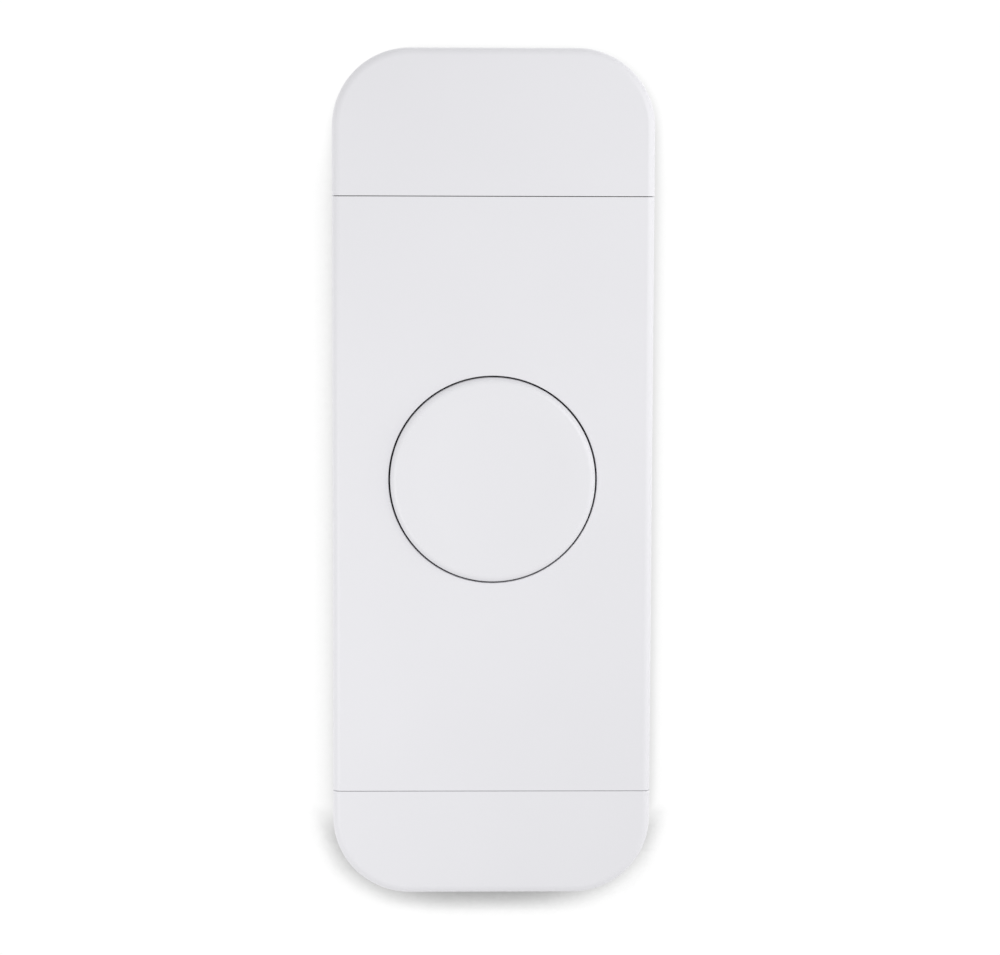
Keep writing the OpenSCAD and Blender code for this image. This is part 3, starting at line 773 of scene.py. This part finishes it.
def positive():
    """The plate on the left, which the cell's raised contact touches."""
    bm = bmesh.new()
    contact_plate(bm, PLATE_LOW.x / MM)
    return to_object(bm, "contact_plate_left")


def negative():
    """The plate on the right, with a cone of wire that presses on the cell's flat end."""
    bm = bmesh.new()
    wire = 0.3
    plate_x = -PLATE_LOW.x / MM - PLATE_T
    tube(bm, coil_path(2.2, 4.6, CELL_RIGHT + wire, plate_x - wire, 2.5, 0.25), wire)
    lay_across(bm, CELL_Y, CELL_DEPTH)
    contact_plate(bm, plate_x)
    return to_object(bm, "contact_spring_right")


finish_piece(positive(), [NICKEL], "base", ["positive_contact"])
finish_piece(negative(), [NICKEL], "base", ["negative_contact"])

SPRING_LOW, SPRING_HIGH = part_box("return_springs")


def springs():
    """Three coil springs round the guide pins, with closed ends."""
    bm = bmesh.new()
    wire = 0.25
    low, high = -SPRING_HIGH.y / MM + wire, -SPRING_LOW.y / MM - wire
    path = coil_path(2.15, 2.15, low, high, 6, 0.7)
    for x, y in pin_places():
        tube(bm, [(x + u, y + v, w) for u, v, w in path], wire, 10)
    return to_object(bm, "coil_springs")


coils = finish_piece(springs(), [SPRING], "base", ["return_springs"])
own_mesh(coils)

LEADS_LOW, LEADS_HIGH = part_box("battery_leads")


def leads():
    """Two insulated wires along the board's edges, their bare tips bent down to it."""
    bm = bmesh.new()
    wire = 0.55
    core = 0.6 * wire
    bend = 1.5
    straight = 12
    x = LEADS_HIGH.x / MM - wire
    head = LEADS_HIGH.z / MM
    foot = LEADS_LOW.z / MM + bend + wire
    board = -LEADS_HIGH.y / MM
    for side in (-1, 1):
        curve = arc((foot, board), bend, 90, 180, 10)
        run = [(head - i * (head - foot) / straight, board + bend) for i in range(straight)]
        tip = [(head + 0.6 - 0.3 * i, board + bend) for i in range(3)]
        before = set(bm.faces)
        tube(bm, [(side * x, y, depth) for y, depth in [*run, *curve[:6]]], wire, 16)
        before = mark(bm, before, 0 if side < 0 else 2)
        for bare in (curve[5:], tip):
            tube(bm, [(side * x, y, depth) for y, depth in bare], core, 12)
        mark(bm, before, 1)
    return to_object(bm, "insulated_leads")


finish_piece(leads(), [LEAD, ZINC, BLACK], "base", ["battery_leads"])

CAPACITORS_LOW, CAPACITORS_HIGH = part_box("capacitors")
# Inset from the can's side, then the distance from its foot or from its top
CAN_FOOT = ((0.3, 0), (0, 0.3), (0, 1.2), (0.3, 1.5), (0, 1.8))
CAN_HEAD = ((0, 0.5), (0.15, 0.15), (0.5, 0), (0.9, 0), (1, 0.1))
BARE_TOP = 0.12


def capacitor_cans():
    """Two cans in dark sleeves, with a groove near the foot and a bare sunk top."""
    bm = bmesh.new()
    low, high = -CAPACITORS_HIGH.y / MM, -CAPACITORS_LOW.y / MM
    radius = (CAPACITORS_HIGH.z - CAPACITORS_LOW.z) / 2 / MM
    y = (CAPACITORS_HIGH.z + CAPACITORS_LOW.z) / 2 / MM
    x = CAPACITORS_HIGH.x / MM - radius
    profile = [(0, low)]
    profile += [(radius - inset, low + rise) for inset, rise in CAN_FOOT]
    profile += [(radius - inset, high - drop) for inset, drop in CAN_HEAD]
    profile.append((0, profile[-1][1]))
    for side in (-1, 1):
        lathe(bm, profile, side * x, y, 64)
    for face in bm.faces:
        depth = -face.calc_center_median().y / MM
        face.material_index = 1 if depth > high - BARE_TOP else 0
    return to_object(bm, "capacitor_cans")


finish_piece(capacitor_cans(), [BLACK, CAN], "base", ["capacitors"])

BOARD_TOP = -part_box("main_board")[0].y / MM
PACKAGE_LIFT = 0.08
LEG_ROOM = 0.45
LEG_REACH = 0.42
LEG_KNEE = 0.14
LEG_T = 0.18
LEGS_FROM_CORNER = 0.3
# Half the width of a leg's foot and of its upright part, in shares of the pitch
LEG_HALF = 0.28
LEG_RISER_HALF = 0.25
MARK_R = 0.25
MARK_INSET = 0.6
# Centre across and up, width, height and thickness of each package, then its legs a side
PACKAGES = [
    (-11, 14.5, 8, 8, 1.1, 11),
    (10.5, 14, 7, 8, 1.0, 8),
    (-12, -13, 5, 5, 1.0, 6),
    (11.5, -12.5, 6, 5, 1.2, 5),
    (0, -10.5, 5, 4, 0.9, 4),
    (0, 15.5, 3.2, 2.5, 0.9, 3),
    (12.5, -34.2, 5, 4.4, 1.0, 4),
    (-13, 0, 4, 6, 1.0, 6),
]
SMALL_PARTS = 6
SMALL_PITCH = 2.4
SMALL_FIRST_Y = -7.2
SMALL_X = 18.2


def package(bm, x, y, width, height, thick, legs):
    """A chip with chamfered edges, a round pin mark and legs along both upright sides."""
    half_w = width / 2 - LEG_ROOM
    half_h = height / 2
    top = BOARD_TOP + thick
    outline = [(x - half_w, y - half_h), (x + half_w, y - half_h)]
    outline += [(x + half_w, y + half_h), (x - half_w, y + half_h)]
    prism(bm, outline, BOARD_TOP + PACKAGE_LIFT, top, lambda u, v, w: (u, v, w), 0.12)
    before = set(bm.faces)
    mark_x, mark_y = x - half_w + MARK_INSET, y + half_h - MARK_INSET
    cylinder(bm, mark_x, mark_y, MARK_R, top - 0.05, top + 0.01, 20)
    before = mark(bm, before, 2)
    first = y - half_h + LEGS_FROM_CORNER
    pitch = (height - 2 * LEGS_FROM_CORNER) / legs
    for side in (-1, 1):
        for i in range(legs):
            middle = first + pitch * (i + 0.5)
            foot = (x + side * (half_w - 0.05), x + side * (half_w + LEG_REACH))
            ys = (middle - LEG_HALF * pitch, middle + LEG_HALF * pitch)
            block(bm, foot, ys, (BOARD_TOP, BOARD_TOP + LEG_T))
            riser = (x + side * (half_w - 0.03), x + side * (half_w + LEG_KNEE))
            ys = (middle - LEG_RISER_HALF * pitch, middle + LEG_RISER_HALF * pitch)
            block(bm, riser, ys, (BOARD_TOP + 0.1, BOARD_TOP + 0.5 * thick))
    mark(bm, before, 1)


def small_part(bm, x, y):
    """A small part standing upright: a dark middle between two thicker plated ends."""
    cuts = (y - 0.8, y - 0.45, y + 0.45, y + 0.8)
    for low, high, swell, index in zip(cuts, cuts[1:], (0.03, 0, 0.03), (1, 0, 1)):
        before = set(bm.faces)
        half = 0.37 + swell
        block(bm, (x - half, x + half), (low, high), (BOARD_TOP, BOARD_TOP + 0.55 + swell))
        mark(bm, before, index)


def chips():
    """Packages on the main board, and a row of small parts along each of its sides."""
    bm = bmesh.new()
    for values in PACKAGES:
        package(bm, *values)
    for side in (-1, 1):
        for i in range(SMALL_PARTS):
            small_part(bm, side * SMALL_X, SMALL_FIRST_Y + SMALL_PITCH * i)
    return to_object(bm, "chip_packages")


finish_piece(chips(), [CHIP, ZINC, BEIGE], "base", ["board_chips"])

# ---------------------------------------------------------------- stage, light and camera

# The sheet and the part of it that carries a painted shadow, in metres
STAGE_HALF = 1.2
STAGE_BEHIND = 0.0003
PAINTED_SHADOW_SIDE = 0.014
PAINTED_SHADOW_TOP = 0.034
PAINTED_SHADOW_FOOT = 0.042

# Light from the open sheet, light from all round, and the grey that the camera sees past the sheet
WHITE = 1.02
WORLD_LIGHT = 0.66
WORLD_SEEN = 0.8

# The heights above the unit's foot between which the painted shadow beside its lower corners ends
CORNER_FROM = -0.0005
CORNER_TO = 0.0085


def painted_shadow_by_nearness(tree, reach, lean, opening, darkest):
    """Painted shadow near the unit, from occlusion: darkest where the unit fills the directions
    round lean, white if open.
    """
    shade = tree.nodes.new("ShaderNodeAmbientOcclusion")
    shade.samples = 24
    shade.inputs["Distance"].default_value = reach
    towards = tree.nodes.new("ShaderNodeCombineXYZ")
    for axis, value in zip("XYZ", lean):
        towards.inputs[axis].default_value = value
    tree.links.new(towards.outputs["Vector"], shade.inputs["Normal"])
    level = tree.nodes.new("ShaderNodeMapRange")
    level.inputs["From Min"].default_value = opening[0]
    level.inputs["From Max"].default_value = opening[1]
    level.inputs["To Min"].default_value = darkest
    level.inputs["To Max"].default_value = WHITE
    tree.links.new(shade.outputs["AO"], level.inputs["Value"])
    return level.outputs["Result"]


def pick_of(tree, operation, first, second):
    """The smaller or the larger of two values."""
    pick = tree.nodes.new("ShaderNodeMath")
    pick.operation = operation
    tree.links.new(first, pick.inputs[0])
    tree.links.new(second, pick.inputs[1])
    return pick.outputs["Value"]


def painted_corner_shadow_mask(tree):
    """Mask for the painted shadow at the lower corners: full light above the unit's lower corners,
    none beside and below them.
    """
    place = tree.nodes.new("ShaderNodeTexCoord")
    split = tree.nodes.new("ShaderNodeSeparateXYZ")
    tree.links.new(place.outputs["Object"], split.inputs["Vector"])
    level = tree.nodes.new("ShaderNodeMapRange")
    level.inputs["From Min"].default_value = cad_low.z + CORNER_FROM
    level.inputs["From Max"].default_value = cad_low.z + CORNER_TO
    level.inputs["To Max"].default_value = WHITE
    tree.links.new(split.outputs["Z"], level.inputs["Value"])
    return level.outputs["Result"]


def sheet_material(name, with_painted_shadow):
    """White light from the sheet's front; with a painted shadow, it is dimmed near the unit by
    occlusion. Its back is clear, so that the unit's back shows.
    """
    mat = bpy.data.materials.new(name)
    mat.use_nodes = True
    tree = mat.node_tree
    tree.nodes.clear()
    out = tree.nodes.new("ShaderNodeOutputMaterial")
    glow = tree.nodes.new("ShaderNodeEmission")
    glow.inputs["Strength"].default_value = WHITE
    if with_painted_shadow:
        # Painted shadow: the sheet's glow is dimmed by occlusion beside and below the unit and
        # round its lower corners.
        strength = painted_shadow_by_nearness(tree, 0.0045, (-0.45, -1, 0.7), opening=(0.45, 0.89), darkest=0.36)
        below = painted_shadow_by_nearness(tree, 0.013, (0, -0.25, 1), opening=(0.54, 0.78), darkest=0.3)
        strength = pick_of(tree, "MINIMUM", strength, below)
        higher = painted_corner_shadow_mask(tree)
        for lean_x in (-0.6, 0.42):
            lean = (lean_x, -0.25, 1)
            corner = painted_shadow_by_nearness(tree, 0.013, lean, opening=(0.6, 0.69), darkest=0.4)
            corner = pick_of(tree, "MAXIMUM", corner, higher)
            strength = pick_of(tree, "MINIMUM", strength, corner)
        tree.links.new(strength, glow.inputs["Strength"])
    clear = tree.nodes.new("ShaderNodeBsdfTransparent")
    side = tree.nodes.new("ShaderNodeNewGeometry")
    pick = tree.nodes.new("ShaderNodeMixShader")
    tree.links.new(side.outputs["Backfacing"], pick.inputs["Fac"])
    tree.links.new(glow.outputs["Emission"], pick.inputs[1])
    tree.links.new(clear.outputs["BSDF"], pick.inputs[2])
    tree.links.new(pick.outputs["Shader"], out.inputs["Surface"])
    return mat


def backdrop():
    """A white sheet on the wall, with a painted shadow that darkens it close to the unit's sides
    and foot.
    """
    xs = [-STAGE_HALF, cad_low.x - PAINTED_SHADOW_SIDE, cad_high.x + PAINTED_SHADOW_SIDE, STAGE_HALF]
    zs = [-STAGE_HALF, cad_low.z - PAINTED_SHADOW_FOOT, cad_high.z + PAINTED_SHADOW_TOP, STAGE_HALF]
    bm = bmesh.new()
    grid = [[bm.verts.new((x, STAGE_BEHIND, z)) for x in xs] for z in zs]
    for j in range(3):
        for i in range(3):
            corners = (grid[j][i], grid[j][i + 1], grid[j + 1][i + 1], grid[j + 1][i])
            bm.faces.new(corners).material_index = 1 if i == j == 1 else 0
    mesh = bpy.data.meshes.new("backdrop")
    bm.to_mesh(mesh)
    bm.free()
    mesh.materials.append(sheet_material("backdrop white", with_painted_shadow=False))
    mesh.materials.append(sheet_material("backdrop painted shadow near the unit", with_painted_shadow=True))
    obj = bpy.data.objects.new("backdrop", mesh)
    obj.visible_shadow = False
    bpy.context.scene.collection.objects.link(obj)


def softbox(name, place, size, power):
    """A square soft light at a place in metres, aimed at the origin and not seen itself."""
    data = bpy.data.lights.new(name, "AREA")
    data.shape = "SQUARE"
    data.size = size
    data.energy = power
    obj = bpy.data.objects.new(name, data)
    obj.location = place
    obj.rotation_mode = "QUATERNION"
    obj.rotation_quaternion = (-Vector(place)).to_track_quat("-Z", "Y")
    obj.visible_camera = False
    bpy.context.scene.collection.objects.link(obj)


def studio_world():
    """Even light from all round. Where the camera sees past the sheet, it is a paler grey."""
    world = bpy.data.worlds.new("studio")
    world.use_nodes = True
    tree = world.node_tree
    glow = tree.nodes["Background"]
    ray = tree.nodes.new("ShaderNodeLightPath")
    seen = tree.nodes.new("ShaderNodeMix")
    seen.inputs["A"].default_value = WORLD_LIGHT
    seen.inputs["B"].default_value = WORLD_SEEN
    tree.links.new(ray.outputs["Is Camera Ray"], seen.inputs["Factor"])
    glow.inputs["Color"].default_value = (1, 1, 1, 1)
    tree.links.new(seen.outputs["Result"], glow.inputs["Strength"])
    bpy.context.scene.world = world


backdrop()
studio_world()
softbox("upper right", (0.14, -0.18, 0.07), 0.1, 0.092)
softbox("lower left", (-0.12, -0.18, -0.05), 0.1, 0.105)
softbox("right side", (0.45, -0.12, 0.0), 0.4, 0.5)
softbox("behind", (0.1, 0.7, 0.4), 0.6, 1.6)
bpy.context.scene.view_settings.view_transform = "Standard"

# Angles in degrees, distance in metres, lens in millimetres, shift in shares of the frame
CAMERA_AZIMUTH = -1.39
CAMERA_ELEVATION = 6.32
CAMERA_ROLL = 0.2
CAMERA_DISTANCE = 0.480
CAMERA_LENS = 115.3
CAMERA_SHIFT = (0.0073, -0.001)


def add_camera():
    """The camera in front of the unit and a little above it, aimed at the middle of its front."""
    data = bpy.data.cameras.new("camera")
    data.lens = CAMERA_LENS
    data.sensor_width = 36
    data.shift_x, data.shift_y = CAMERA_SHIFT
    data.clip_start = 0.01
    data.clip_end = 10
    obj = bpy.data.objects.new("camera", data)
    azimuth = math.radians(CAMERA_AZIMUTH)
    elevation = math.radians(CAMERA_ELEVATION)
    flat = math.cos(elevation)
    back = Vector((math.sin(azimuth) * flat, -math.cos(azimuth) * flat, math.sin(elevation)))
    turn = (-back).to_track_quat("-Z", "Y").to_matrix().to_4x4()
    roll = Matrix.Rotation(math.radians(CAMERA_ROLL), 4, "Z")
    obj.matrix_world = Matrix.Translation(at(0, 0, FRONT) + back * CAMERA_DISTANCE) @ turn @ roll
    bpy.context.scene.collection.objects.link(obj)
    bpy.context.scene.camera = obj


add_camera()
